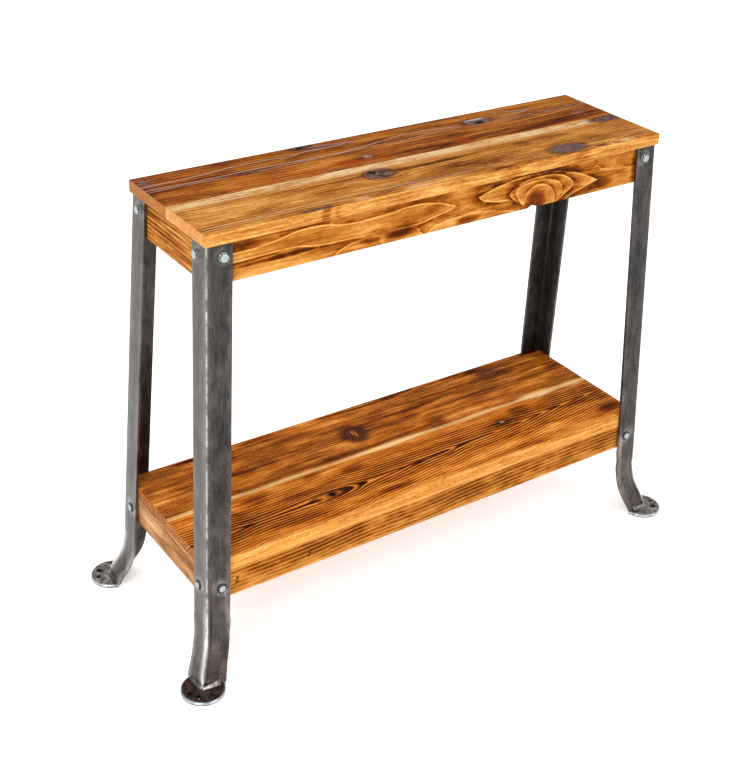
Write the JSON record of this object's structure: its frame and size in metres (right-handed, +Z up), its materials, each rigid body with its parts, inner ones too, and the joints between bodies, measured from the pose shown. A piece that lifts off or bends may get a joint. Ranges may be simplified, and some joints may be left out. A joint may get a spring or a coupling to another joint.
{
  "type": "console table",
  "caption": "Narrow plank-topped console table with a lower plank shelf, held by splayed angle-iron legs that curl out into drilled round foot pads.",
  "frame": {"origin": "on the floor, under the middle of the table", "axes": "+X along the length to the right as seen from the front, +Y from the front to the back, +Z up"},
  "size_m": [1.2182, 0.4862, 0.888],
  "materials": {
    "plank_amber": "satin oil over reclaimed pine, amber brown",
    "plank_walnut": "satin oil over reclaimed pine, darker brown",
    "apron_pine": "satin oil over scorched pine, orange amber",
    "shelf_pine": "satin oil over reclaimed pine, red brown",
    "inner_pine": "unfinished sawn pine",
    "beech_biscuit": "pressed beech",
    "raw_steel": "raw angle iron with mill scale, ground and clear coated",
    "zinc": "bright zinc plate",
    "screw_steel": "yellow zinc wood screws"
  },
  "bodies": {
    "root": {"tabletop_front_plank": "plank_amber", "tabletop_back_plank": "plank_walnut", "tabletop_biscuits": "beech_biscuit", "tabletop_cleat_left": "inner_pine", "tabletop_cleat_middle": "inner_pine", "tabletop_cleat_right": "inner_pine", "tabletop_cleat_screws": "screw_steel", "apron_front": "apron_pine", "apron_back": "apron_pine", "apron_left": "apron_pine", "apron_right": "apron_pine", "apron_block_front_left": "inner_pine", "apron_block_front_right": "inner_pine", "apron_block_back_left": "inner_pine", "apron_block_back_right": "inner_pine", "apron_block_screws": "screw_steel", "shelf_front_plank": "shelf_pine", "shelf_back_plank": "shelf_pine", "shelf_biscuits": "beech_biscuit", "shelf_cleat_left": "inner_pine", "shelf_cleat_middle": "inner_pine", "shelf_cleat_right": "inner_pine", "shelf_cleat_screws": "screw_steel", "shelf_fascia_front": "apron_pine", "shelf_fascia_back": "apron_pine", "shelf_fascia_left": "apron_pine", "shelf_fascia_right": "apron_pine", "shelf_block_front_left": "inner_pine", "shelf_block_front_right": "inner_pine", "shelf_block_back_left": "inner_pine", "shelf_block_back_right": "inner_pine", "shelf_block_screws": "screw_steel", "leg_front_left": "raw_steel", "leg_front_right": "raw_steel", "leg_back_left": "raw_steel", "leg_back_right": "raw_steel", "leg_upper_lag_screws": "zinc", "leg_lower_lag_screws": "zinc"}
  },
  "joints": []
}
